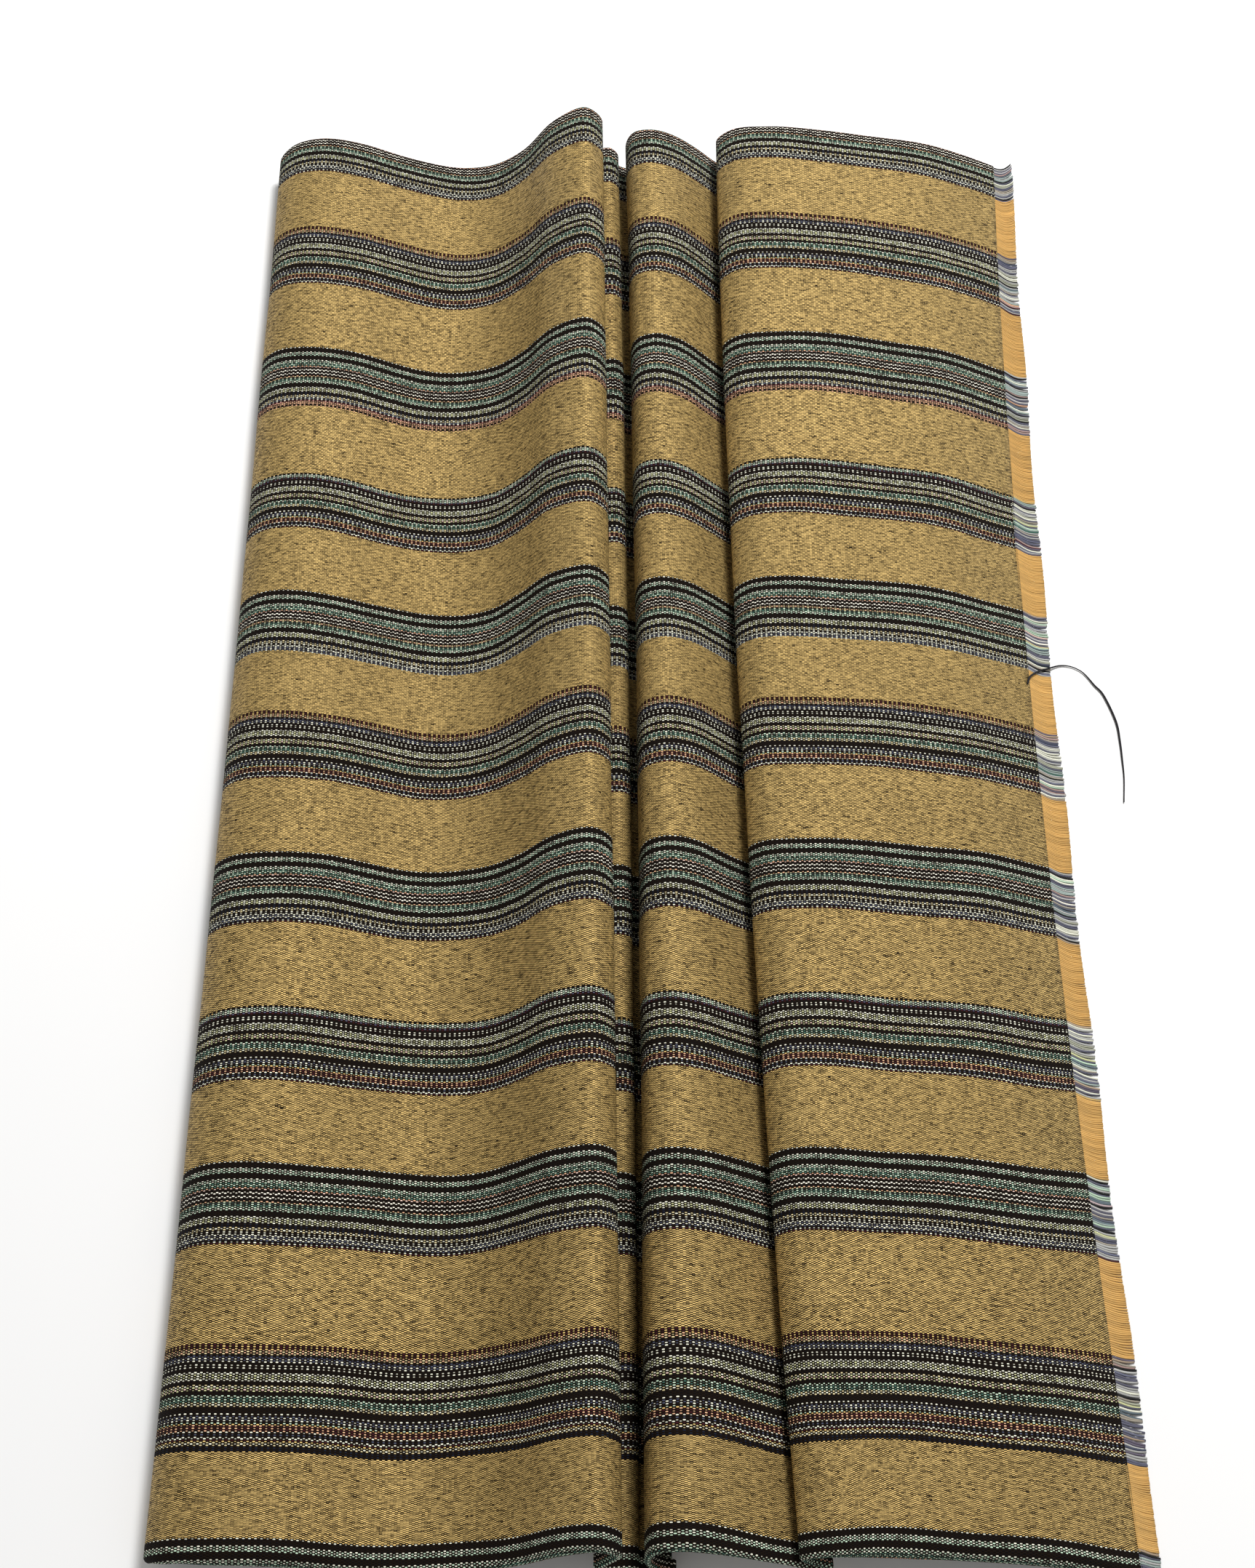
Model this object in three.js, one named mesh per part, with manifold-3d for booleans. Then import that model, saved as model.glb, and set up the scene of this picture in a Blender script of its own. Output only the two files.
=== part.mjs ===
import * as THREE from 'three';
import { mergeVertices } from 'three/addons/utils/BufferGeometryUtils.js';
import Module from 'manifold-3d';

// A striped aso oke cloth, lying in loose knife pleats. Millimetres, +Z up.
// X runs along the warp stripes, Y across them, and the origin is under the middle of the cloth.

const THICK = 1.0;          // the woven sheet
const LENGTH = 694;         // from the far turned edge to the near one
const FRINGE_GAP = 0.35;    // from the last weft to the strip that holds the fringe
const STRIP_WIDTH = 2.4;
const LOCK_COUNT = 112;
const LOCK_THICK = 0.8;
const LOCK_FILL = 0.74;     // width of a lock as a share of its pitch
const LOCK_LEVEL = 2.6;     // how much of a lock's tip lies on the surface
const FRINGE_REACH = { far: 10.5, near: 8.5, bow: 2 };  // from the last weft to the tips, from above
const FRINGE_SPREAD = 1.6;  // how much longer or shorter a lock may be
const FRINGE_TAPER = 0.8;   // width of a lock's tip as a share of its root
const FRINGE_SWAY = 0.5;    // how far a lock may lean either way
const LEAN_AT_LANDING = 0.7;
const ROOT_OVERLAP = 0.8;   // how far a lock reaches into the strip
const FRINGE_INSET = 0.5;   // from the turned corner to the fringe's first lock
const SPLAY = 4.5;          // how far the locks at the far corner lean outwards
const SPLAY_LENGTH = 110;
const THREAD_THICK = 0.8;

const SPAN_STEPS = 7;
const ROLL_STEPS = 4;
const HEM_STEPS = 1;

// The section of the cloth, followed from the fringed edge to the hidden end. x is from the gap left of
// the middle fold, z is the height of the sheet's middle. far and near are the two ends of the cloth.
// bow and rise are how far a fold line bends to +X and up at mid length, roll is the radius of the turned
// far and near edges, hem is what is turned under there, back is how far they stand back from the ends.
// A row without bow, rise or back has none.
const SECTION = [
  { at: 'woven edge', far: [184.5, 6], near: [183.5, 6], steps: 2, bow: -8.5, roll: 2, hem: 16 },
  { at: 'ease', far: [171, 13], near: [170, 13.5], steps: 2, bow: -7.5, rise: 1, roll: 2.6, hem: 18 },
  { at: 'long slope', far: [150, 21.5], near: [148, 24.5], steps: 2, bow: -6, rise: 2, roll: 3.2, hem: 20 },
  { at: 'shoulder', far: [123, 26.5], near: [120, 32.5], steps: 2, bow: -3, rise: 2, roll: 3.2, hem: 20 },
  { at: 'back', far: [95, 31], near: [98, 36], steps: 3, bow: -2, rise: 2.5, roll: 3.2, hem: 20 },
  { at: 'right crest', far: [70, 33], near: [80, 37.5], steps: 3, bow: -2, rise: 3, roll: 2.6, hem: 18 },
  { at: 'brow', far: [52, 30.5], near: [66.5, 35.5], steps: 4, bow: -4, rise: 3, roll: 1.4, hem: 10 },
  { at: 'left side', far: [44.5, 23], near: [60.2, 30], steps: 3, bow: -4, rise: 2, roll: 0.8, hem: 4 },
  { at: 'tuck under', far: [47, 16], near: [62.5, 25], steps: 2, bow: -4, rise: 1, roll: 0.8, hem: 4 },
  { at: 'tuck', far: [52, 11.6], near: [67, 21], steps: 3, bow: -4, roll: 0.8, hem: 4 },
  { at: 'tuck turn', far: [56, 8.2], near: [70.5, 17], steps: 3, bow: -4, roll: 0.8, hem: 4 },
  { at: 'tuck return', far: [52, 5], near: [66.5, 15], steps: 2, bow: -4, roll: 0.8, hem: 4 },
  { at: 'valley', far: [45.5, 7.4], near: [58.5, 22.5], steps: 2, bow: -4, roll: 0.8, hem: 5 },
  { at: 'middle slope', far: [35, 17.5], near: [46, 32], steps: 2, bow: -3, roll: 1.4, hem: 10 },
  { at: 'middle back', far: [23, 27.3], near: [33, 41], steps: 2, bow: -1, roll: 2.4, hem: 18 },
  { at: 'middle crest', far: [12, 31], near: [20, 45.5], steps: 3, roll: 2.4, hem: 18 },
  { at: 'middle brow', far: [3.2, 28.4], near: [9.8, 41.5], steps: 3, bow: 1.5, roll: 1.2, hem: 8 },
  { at: 'middle side', far: [-0.2, 21.5], near: [6.6, 31], steps: 2, bow: 1.5, roll: 0.8, hem: 4 },
  { at: 'gap', far: [0.4, 15], near: [7.2, 19], steps: 2, bow: 1.5, roll: 0.8, hem: 4 },
  { at: 'gap foot', far: [6, 11.2], near: [11, 11.6], steps: 3, bow: 1, roll: 0.8, hem: 4 },
  { at: 'gap turn', far: [11.4, 7.8], near: [15.2, 7.8], steps: 3, bow: 1, roll: 0.8, hem: 4 },
  { at: 'gap return', far: [8, 4.9], near: [12.4, 4.9], steps: 2, bow: 1, roll: 0.8, hem: 4 },
  { at: 'gap floor', far: [0.5, 3.8], near: [9, 3.8], steps: 2, bow: 1, roll: 0.8, hem: 4 },
  { at: 'inner side', far: [-5, 6.4], near: [3.9, 5.4], steps: 2, bow: 1, roll: 0.8, hem: 4 },
  { at: 'inner shoulder', far: [-5.2, 14], near: [3.8, 9.6], steps: 2, bow: 1, roll: 0.8, hem: 4 },
  { at: 'inner crest', far: [-9, 18], near: [0.6, 12.4], steps: 2, bow: 1, roll: 0.8, hem: 4 },
  { at: 'inner slope', far: [-15.6, 17.4], near: [-5.6, 12.4], steps: 2, bow: 0.5, roll: 0.8, hem: 4 },
  { at: 'inner turn', far: [-20.8, 21.2], near: [-10, 15.6], steps: 3, roll: 0.8, hem: 4 },
  { at: 'inner back', far: [-17.5, 27.5], near: [-6.8, 22.5], steps: 2, roll: 0.8, hem: 4 },
  { at: 'right side', far: [-12.8, 36.5], near: [-2.2, 35], steps: 3, roll: 1, hem: 6 },
  { at: 'high crest', far: [-20.5, 45.6], near: [-9.5, 44.6], steps: 3, roll: 2.2, hem: 18 },
  { at: 'steep slope', far: [-36, 37.5], near: [-24, 39.5], steps: 3, bow: -1, rise: 1, roll: 3, hem: 20 },
  { at: 'low slope', far: [-51, 18.6], near: [-38, 26.5], steps: 2, bow: -1, rise: 2, roll: 2.6, hem: 20 },
  { at: 'foot', far: [-66, 7.2], near: [-52, 16.8], steps: 2, rise: 1.5, roll: 1.5, hem: 20 },
  { at: 'trough', far: [-82, 4.2], near: [-69, 12.2], steps: 2, rise: 0.5, roll: 1.2, hem: 20 },
  { at: 'rise', far: [-97, 6.8], near: [-86, 13], steps: 2, roll: 1.4, hem: 20 },
  { at: 'outer slope', far: [-114, 13.6], near: [-104, 18.4], steps: 2, roll: 2.4, hem: 20 },
  { at: 'outer shoulder', far: [-132, 22], near: [-122, 23.6], steps: 2, roll: 3.2, hem: 20 },
  { at: 'outer crest', far: [-150, 25.6], near: [-144, 26.4], steps: 3, roll: 3.2, hem: 20 },
  { at: 'outer brow', far: [-165, 22.4], near: [-162, 23.4], steps: 3, bow: 1, roll: 2.6, hem: 16, back: 1 },
  { at: 'outer side', far: [-173.5, 12.8], near: [-171, 13], steps: 3, bow: 1.5, roll: 1.8, hem: 8, back: 3 },
  { at: 'underside', far: [-168.5, 3.8], near: [-166, 3.8], steps: 3, bow: 1.5, roll: 1.2, hem: 4, back: 8 },
  { at: 'lower layer', far: [-158, 0.5], near: [-156, 0.5], steps: 2, bow: 1, roll: 1.1, hem: 4, back: 14 },
  { at: 'lower left', far: [-128, 0.5], near: [-128, 0.5], steps: 3, roll: 0.8, hem: 4, back: 28 },
  { at: 'lower right', far: [140, 0.5], near: [140, 0.5], steps: 1, roll: 0.8, hem: 4, back: 28 },
  { at: 'hidden end', far: [152, 0.5], near: [152, 0.5], steps: 0, roll: 0.8, hem: 4, back: 28 },
];

// The stray warp thread on the surface, from the fringe outwards. along is measured from mid length.
const THREAD = [
  { x: 182.5, along: 44.5, z: 4.4 },
  { x: 187.7, along: 45.8, z: 1.2 },
  { x: 192.3, along: 46.4, z: 0.4 },
  { x: 196.6, along: 45.4, z: 0.4 },
  { x: 202.1, along: 41.1, z: 0.4 },
  { x: 207.7, along: 31.6, z: 0.4 },
  { x: 212.5, along: 17, z: 0.4 },
  { x: 214.2, along: 0.6, z: 0.4 },
  { x: 213.6, along: -16.5, z: 0.4 },
  { x: 212.4, along: -23.9, z: 0.4 },
];
const THREAD_STEPS = 14;

const share = (y) => THREE.MathUtils.clamp(0.5 - y / LENGTH, 0, 1);
const mix = THREE.MathUtils.lerp;
const bent = (far, near, bow, v) => mix(far, near, v) + bow * 4 * v * (1 - v);

// The smooth section at one place along the cloth, as a curve in X and Z.
function sectionAt(y) {
  const v = share(y);
  const points = SECTION.map(({ far, near, bow = 0, rise = 0 }) => new THREE.Vector3(
    bent(far[0], near[0], bow, v), 0, bent(far[1], near[1], rise, v)));
  return new THREE.CatmullRomCurve3(points, false, 'centripetal');
}

// Every place along the section where the mesh has a row of vertices, with its hem sizes.
function stations() {
  const last = SECTION.length - 1;
  const list = [];
  SECTION.forEach((row, i) => {
    const next = SECTION[Math.min(i + 1, last)];
    for (let j = 0; j < Math.max(row.steps, 1); j++) {
      const w = row.steps ? j / row.steps : 0;
      const ease = w * w * (3 - 2 * w);
      list.push({
        t: (i + w) / last,
        roll: mix(row.roll, next.roll, ease),
        hem: mix(row.hem, next.hem, ease),
        back: mix(row.back ?? 0, next.back ?? 0, ease),
      });
    }
  });
  return list;
}

// A point of the section, moved towards the inside of the cloth.
function placed(curve, t, y, inset) {
  const point = curve.getPoint(t);
  const along = curve.getTangent(t);
  const x = point.x - along.z * inset;
  const z = Math.max(point.z + along.x * inset, THICK / 2);
  return new THREE.Vector3(x, y, z);
}

// Across the cloth: the far hem, the far roll, the open span, the near roll and the near hem.
function acrossCloth({ roll, hem, back }) {
  const edge = LENGTH / 2 - back - THICK / 2;
  const side = [];
  for (let i = 0; i < HEM_STEPS; i++) {
    side.push([edge - roll - hem * (1 - i / HEM_STEPS), 2 * roll]);
  }
  for (let i = 0; i < ROLL_STEPS; i++) {
    const turn = Math.PI * (1 - i / ROLL_STEPS);
    side.push([edge - roll + roll * Math.sin(turn), roll - roll * Math.cos(turn)]);
  }
  const open = [];
  for (let i = 0; i <= SPAN_STEPS; i++) {
    open.push([mix(edge - roll, roll - edge, i / SPAN_STEPS), 0]);
  }
  const near = side.map(([y, inset]) => [-y, inset]).reverse();
  return [...side, ...open, ...near];
}

function middleSheet() {
  return stations().map((station) => acrossCloth(station).map(
    ([y, inset]) => placed(sectionAt(y), station.t, y, inset)));
}

// A grid of points made into a closed sheet of even thickness.
function thickened(grid, thick) {
  const rows = grid.length;
  const columns = grid[0].length;
  const inside = (n, count) => THREE.MathUtils.clamp(n, 0, count - 1);
  const at = (r, c) => grid[inside(r, rows)][inside(c, columns)];
  const faces = [[], []];
  for (let r = 0; r < rows; r++) {
    for (let c = 0; c < columns; c++) {
      const alongSection = at(r + 1, c).clone().sub(at(r - 1, c));
      const alongCloth = at(r, c + 1).clone().sub(at(r, c - 1));
      const out = alongSection.cross(alongCloth).normalize().multiplyScalar(thick / 2);
      faces[0].push(at(r, c).clone().add(out));
      faces[1].push(at(r, c).clone().sub(out));
    }
  }
  const lowest = (p) => p.setZ(Math.max(p.z, 0));
  const vertices = [...faces[0], ...faces[1]].map(lowest);
  const other = rows * columns;
  const index = [];
  const quad = (a, b, c, d) => index.push(a, b, c, a, c, d);
  for (let r = 0; r + 1 < rows; r++) {
    for (let c = 0; c + 1 < columns; c++) {
      const a = r * columns + c;
      quad(a, a + columns, a + columns + 1, a + 1);
      quad(other + a, other + a + 1, other + a + columns + 1, other + a + columns);
    }
  }
  for (let r = 0; r + 1 < rows; r++) {
    const first = r * columns;
    const end = first + columns - 1;
    quad(first, other + first, other + first + columns, first + columns);
    quad(end, end + columns, other + end + columns, other + end);
  }
  for (let c = 0; c + 1 < columns; c++) {
    const end = (rows - 1) * columns + c;
    quad(c, c + 1, other + c + 1, other + c);
    quad(end, other + end, other + end + 1, end + 1);
  }
  const geometry = new THREE.BufferGeometry().setFromPoints(vertices);
  geometry.setIndex(index);
  return geometry;
}

// A closed tube of four-sided sections. Each section is a list of four corners.
function tube(sections) {
  const vertices = sections.flat();
  const last = vertices.length - 4;
  const index = [0, 2, 1, 0, 3, 2, last, last + 1, last + 2, last, last + 2, last + 3];
  for (let s = 0; s + 1 < sections.length; s++) {
    for (let k = 0; k < 4; k++) {
      const a = s * 4 + k;
      const b = s * 4 + (k + 1) % 4;
      index.push(a, b + 4, a + 4, a, b, b + 4);
    }
  }
  const geometry = new THREE.BufferGeometry().setFromPoints(vertices);
  geometry.setIndex(index);
  return geometry;
}

// The four corners of a flat section that stands across a path in X and Z.
function corners(point, towards, width, thick) {
  const side = new THREE.Vector3(0, width / 2, 0);
  const up = new THREE.Vector3(-towards.z, 0, towards.x).normalize().multiplyScalar(thick / 2);
  return [
    point.clone().add(side).add(up),
    point.clone().sub(side).add(up),
    point.clone().sub(side).sub(up),
    point.clone().add(side).sub(up),
  ];
}

// The last weft at one place along the cloth, and the way that its warp ends leave it.
function wovenEdge(y) {
  const curve = sectionAt(y);
  const point = curve.getPoint(0).setY(y);
  const out = curve.getTangent(0).negate();
  return { point, out };
}

function fringeStrip(reach) {
  const sections = [];
  for (let i = 0; i <= SPAN_STEPS; i++) {
    const y = mix(reach, -reach, i / SPAN_STEPS);
    const { point, out } = wovenEdge(y);
    const up = new THREE.Vector3(-out.z, 0, out.x).multiplyScalar(THICK / 2);
    const start = point.clone().addScaledVector(out, FRINGE_GAP);
    const end = start.clone().addScaledVector(out, STRIP_WIDTH);
    sections.push([
      start.clone().add(up), start.clone().sub(up), end.clone().sub(up), end.clone().add(up),
    ]);
  }
  return tube(sections);
}

// A repeatable number from -1 to 1 for each lock, with no pattern that the eye can see.
const UNEVEN_STEPS = [12.99, 4.14];
const uneven = (i) => Math.sin(i * UNEVEN_STEPS[0]) * Math.cos(i * UNEVEN_STEPS[1]);

// One lock of warp ends: it leaves the strip, falls to the surface and lies level there.
function lock(i, y, pitch, reach) {
  const { point, out } = wovenEdge(y);
  const level = new THREE.Vector3(1, 0, 0);
  const root = point.clone().addScaledVector(out, FRINGE_GAP + STRIP_WIDTH - ROOT_OVERLAP);
  const { far, near, bow } = FRINGE_REACH;
  const tipX = point.x + bent(far, near, bow, share(y)) + FRINGE_SPREAD * uneven(i);
  const landX = tipX - LOCK_LEVEL;
  const corner = Math.max(0, y - reach + SPLAY_LENGTH) / SPLAY_LENGTH;
  const lean = SPLAY * corner * corner + FRINGE_SWAY * uneven(i + LOCK_COUNT);
  const land = new THREE.Vector3(landX, y + lean * LEAN_AT_LANDING, LOCK_THICK / 2);
  const tip = new THREE.Vector3(tipX, y + lean, LOCK_THICK / 2);
  const width = pitch * LOCK_FILL;
  return tube([
    corners(root, out, width, LOCK_THICK),
    corners(land, level, width, LOCK_THICK),
    corners(tip, level, width * FRINGE_TAPER, LOCK_THICK),
  ]);
}

function strayThread() {
  const { point, out } = wovenEdge(THREAD[0].along);
  const root = point.clone().addScaledVector(out, FRINGE_GAP + STRIP_WIDTH - ROOT_OVERLAP);
  const path = [root, ...THREAD.map(({ x, along, z }) => new THREE.Vector3(x, along, z))];
  const curve = new THREE.CatmullRomCurve3(path, false, 'centripetal');
  const up = new THREE.Vector3(0, 0, THREAD_THICK / 2);
  const sections = [];
  for (let i = 0; i <= THREAD_STEPS; i++) {
    const middle = curve.getPoint(i / THREAD_STEPS);
    middle.z = Math.max(middle.z, THREAD_THICK / 2);
    const along = curve.getTangent(i / THREAD_STEPS);
    const side = new THREE.Vector3(-along.y, along.x, 0).normalize().multiplyScalar(THREAD_THICK / 2);
    sections.push([
      middle.clone().add(side).add(up), middle.clone().sub(side).add(up),
      middle.clone().sub(side).sub(up), middle.clone().add(side).sub(up),
    ]);
  }
  return tube(sections);
}

// A closed geometry as a solid that can be joined to others.
function solid(wasm, geometry) {
  const merged = mergeVertices(geometry);
  return new wasm.Manifold(new wasm.Mesh({
    numProp: 3,
    vertProperties: new Float32Array(merged.attributes.position.array),
    triVerts: new Uint32Array(merged.index.array),
  }));
}

function fringe(wasm) {
  const reach = LENGTH / 2 - SECTION[0].roll - THICK / 2 - FRINGE_INSET;
  const pitch = 2 * reach / LOCK_COUNT;
  let joined = solid(wasm, fringeStrip(reach));
  for (let i = 0; i < LOCK_COUNT; i++) {
    const y = reach - pitch * (i + 0.5);
    const taken = Math.abs(y - THREAD[0].along) < pitch / 2;
    joined = joined.add(solid(wasm, taken ? strayThread() : lock(i, y, pitch, reach)));
  }
  const mesh = joined.getMesh();
  const geometry = new THREE.BufferGeometry();
  geometry.setAttribute('position', new THREE.BufferAttribute(mesh.vertProperties, 3));
  geometry.setIndex(new THREE.BufferAttribute(mesh.triVerts, 1));
  return geometry;
}

const wasm = await Module();
wasm.setup();

const clothMesh = new THREE.Mesh(
  thickened(middleSheet(), THICK),
  new THREE.MeshStandardMaterial({ color: 0xb8954f, roughness: 0.6, metalness: 0.15 }),
);
clothMesh.name = 'cloth';

const fringeMesh = new THREE.Mesh(
  fringe(wasm),
  new THREE.MeshStandardMaterial({ color: 0xc08a3c, roughness: 0.85, metalness: 0 }),
);
fringeMesh.name = 'fringe';

const whole = new THREE.Group();
whole.name = 'aso_oke_cloth';
whole.add(clothMesh, fringeMesh);

// The cloth is shifted so that the middle of the whole is over the origin.
const middle = new THREE.Box3().setFromObject(whole).getCenter(new THREE.Vector3());
for (const mesh of [clothMesh, fringeMesh]) {
  mesh.geometry.translate(-middle.x, -middle.y, 0);
}

export default whole;
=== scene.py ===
# %% [markdown]
# # A pleated aso oke cloth
# The object is one piece of hand-woven, warp-faced cloth, lying in loose pleats. Gold yarn with a metallic
# glint alternates with bands of thin coloured stripes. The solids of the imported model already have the
# folds, and this lesson weaves the fine cloth and its fringe on the same folds.

# %% Load the frame
import math
import bpy
import numpy as np
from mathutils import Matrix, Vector, noise


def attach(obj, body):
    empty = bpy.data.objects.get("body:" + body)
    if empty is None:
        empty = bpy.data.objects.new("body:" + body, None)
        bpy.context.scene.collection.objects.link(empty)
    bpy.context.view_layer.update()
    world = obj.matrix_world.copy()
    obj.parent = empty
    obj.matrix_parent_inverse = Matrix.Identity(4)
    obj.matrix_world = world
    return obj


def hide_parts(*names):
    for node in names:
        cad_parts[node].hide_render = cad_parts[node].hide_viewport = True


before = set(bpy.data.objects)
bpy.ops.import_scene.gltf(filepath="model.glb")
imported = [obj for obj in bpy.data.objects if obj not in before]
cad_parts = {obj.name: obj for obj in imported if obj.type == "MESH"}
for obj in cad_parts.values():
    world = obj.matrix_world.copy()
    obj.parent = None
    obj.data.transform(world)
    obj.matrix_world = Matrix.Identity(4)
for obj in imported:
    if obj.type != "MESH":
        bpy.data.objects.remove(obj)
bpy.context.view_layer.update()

MM = 0.001

# %% [markdown]
# ## The camera
# The photograph looks down on the cloth from its near side. Stripes that are evenly woven get closer
# together with distance, and that fixes the pitch of the camera and the length of its lens. The camera
# stands over the gap between the pleats, which is a little left of the middle of the whole.

# %% Place the camera
PITCH_BELOW_LEVEL = 59
CAMERA_HEIGHT = 878.8
CAMERA_FROM_MIDDLE = 542.5
FOCAL_PIXELS = 3282
PHOTO_HEIGHT = 2156
SENSOR = 36
GAP_FROM_MIDDLE = -19.81

camera_data = bpy.data.cameras.new("camera")
camera_data.sensor_width = SENSOR
camera_data.lens = FOCAL_PIXELS / PHOTO_HEIGHT * SENSOR
camera = bpy.data.objects.new("camera", camera_data)
camera.location = Vector((GAP_FROM_MIDDLE, -CAMERA_FROM_MIDDLE, CAMERA_HEIGHT)) * MM
camera.rotation_euler = (math.radians(90 - PITCH_BELOW_LEVEL), 0, 0)
bpy.context.scene.collection.objects.link(camera)
bpy.context.scene.camera = camera
print("lens", round(camera_data.lens, 2), "mm")

# %% [markdown]
# ## Light and floor
# Cloth shows its folds best in a soft light. A pale world fills the shadows, and one lamp, high up beyond
# the far right corner, gives the folds their shape. The plain view transform keeps the yarns' colours as
# they are mixed. The studio's sizes are in metres, and all the others in millimetres.

# %% Make the studio
FLOOR_SIZE = 6.0
FLOOR_BELOW = 0.0002
LAMP_SIZE = 0.5
LAMP_POWER = 37
LAMP_AT = (0.46, 0.85, 1.7)
WORLD_COLOUR = (1, 0.99, 0.97, 1)
WORLD_STRENGTH = 0.42

bpy.context.scene.view_settings.view_transform = "Standard"
world = bpy.data.worlds.new("studio")
bpy.context.scene.world = world
world.use_nodes = True
world.node_tree.nodes["Background"].inputs["Color"].default_value = WORLD_COLOUR
world.node_tree.nodes["Background"].inputs["Strength"].default_value = WORLD_STRENGTH

lamp_data = bpy.data.lights.new("lamp", "AREA")
lamp_data.size = LAMP_SIZE
lamp_data.energy = LAMP_POWER
lamp = bpy.data.objects.new("lamp", lamp_data)
lamp.location = LAMP_AT
lamp.rotation_euler = (-Vector(LAMP_AT)).to_track_quat("-Z", "Y").to_euler()
bpy.context.scene.collection.objects.link(lamp)

floor_mesh = bpy.data.meshes.new("floor")
half = FLOOR_SIZE / 2
corners = [(-half, -half, 0), (half, -half, 0), (half, half, 0), (-half, half, 0)]
floor_mesh.from_pydata(corners, [], [(0, 1, 2, 3)])
floor = bpy.data.objects.new("floor", floor_mesh)
floor.location.z = -FLOOR_BELOW
bpy.context.scene.collection.objects.link(floor)
print("floor and", len(bpy.data.lights), "lamp")

# %% [markdown]
# ## Shader sums
# A weave is arithmetic: which yarn is this, and how far along it are we. Wiring that by hand takes dozens
# of Math nodes, so a small class lets a socket stand in an ordinary Python expression, and each operator
# adds its node. Colours have their own helpers, because a Math node would turn them grey.

# %% Wrap a socket so that it can be used in sums
def add(tree, kind, settings=None, sockets=None, output=0):
    """Add a node: its settings first, then the values or links of its sockets."""
    node = tree.nodes.new(kind)
    for name, value in (settings or {}).items():
        if name == "stops":
            fill_ramp(node.color_ramp, value)
        else:
            setattr(node, name, value)
    pairs = sockets.items() if isinstance(sockets, dict) else enumerate(sockets or [])
    for key, value in pairs:
        if isinstance(value, Wire):
            tree.links.new(value.socket, node.inputs[key])
        else:
            node.inputs[key].default_value = value
    return Wire(tree, node.outputs[output])


def fill_ramp(ramp, stops):
    """Give a ramp its stops, each a place and a colour, with hard steps between them."""
    ramp.interpolation = "CONSTANT"
    while len(ramp.elements) < len(stops):
        ramp.elements.new(0.5)
    for element, (place, colour) in zip(ramp.elements, stops):
        element.position = place
        element.color = colour


class Wire:
    """A socket of a node tree. Sums with it add Math nodes."""

    def __init__(self, tree, socket):
        self.tree = tree
        self.socket = socket

    def math(self, operation, *others):
        return add(self.tree, "ShaderNodeMath", {"operation": operation}, [self, *others])

    def __add__(self, other):
        return self.math("ADD", other)

    def __radd__(self, other):
        return self.math("ADD", other)

    def __sub__(self, other):
        return self.math("SUBTRACT", other)

    def __rsub__(self, other):
        return add(self.tree, "ShaderNodeMath", {"operation": "SUBTRACT"}, [other, self])

    def __mul__(self, other):
        return self.math("MULTIPLY", other)

    def __rmul__(self, other):
        return self.math("MULTIPLY", other)

    def __truediv__(self, other):
        return self.math("DIVIDE", other)

    def __pow__(self, other):
        return self.math("POWER", other)

    def __gt__(self, other):
        return self.math("GREATER_THAN", other)

    def __lt__(self, other):
        return self.math("LESS_THAN", other)

    def floor(self):
        return self.math("FLOOR")

    def part(self):
        return self.math("FRACT")

    def size(self):
        return self.math("ABSOLUTE")

    def cycle(self, length):
        return self.math("FLOORED_MODULO", length)


def blended(factor, first, second):
    """A colour between two colours."""
    tree = factor.tree
    return add(tree, "ShaderNodeMix", {"data_type": "RGBA"}, {0: factor, 6: first, 7: second}, output=2)


def scaled(colour, amount):
    """A colour made lighter or darker."""
    return add(colour.tree, "ShaderNodeVectorMath", {"operation": "SCALE"}, {0: colour, 3: amount})


def between(value, low, high):
    """From 0 at low to 1 at high, eased."""
    places = {0: value, 1: low, 2: high}
    return add(value.tree, "ShaderNodeMapRange", {"interpolation_type": "SMOOTHSTEP"}, places)


print("shader helpers ready")

# %% [markdown]
# ## The yarns' colours
# The colours are written as they look in daylight, from 0 to 255, and turned into the linear values that a
# shader needs. Each name but one is a dyed yarn on the loom, and ink is a finer yarn than black. The seam
# shade is not a yarn but painted shade: the near black that stands for the shadow between the yarns.

# %% Mix the yarns' colours
def dyed(red, green, blue):
    """A linear colour from daylight values, by the usual curve of a screen."""
    linear = [((v / 255 + 0.055) / 1.055) ** 2.4 if v > 10 else v / 3300 for v in (red, green, blue)]
    return (*linear, 1.0)


YARN = {
    "gold": dyed(212, 180, 114),
    # painted shade: the near black that stands for the shadow in the seams between the yarns
    "painted_seam_shade": dyed(24, 15, 7),
    "orange": dyed(208, 164, 94),
    "pale": dyed(222, 222, 204),
    "mint": dyed(184, 208, 184),
    "lime": dyed(200, 202, 152),
    "blush": dyed(222, 192, 180),
    "cream": dyed(204, 190, 146),
    "peach": dyed(214, 168, 134),
    "pink": dyed(208, 150, 140),
    "maroon": dyed(62, 20, 30),
    "black": dyed(9, 8, 11),
    "ink": dyed(10, 9, 12),
    "navy": dyed(20, 30, 48),
    "teal": dyed(62, 102, 90),
    "dark_teal": dyed(44, 62, 60),
    "violet": dyed(86, 82, 106),
    "slate": dyed(70, 76, 96),
    "white": dyed(238, 234, 218),
    "mauve": dyed(118, 118, 138),
}
print(len(YARN), "yarns")

# %% [markdown]
# ## The stripes
# The warp is set up in repeats: a wide striped band, gold, a narrower striped band, gold. Each chart row
# is a group of neighbouring warp yarns, first how many, then the two colours that come up in turn along
# them. Where both are the same, the stripe is plain. Either band has three charts, which follow the
# weaver's changes from one repeat to the next.

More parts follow.
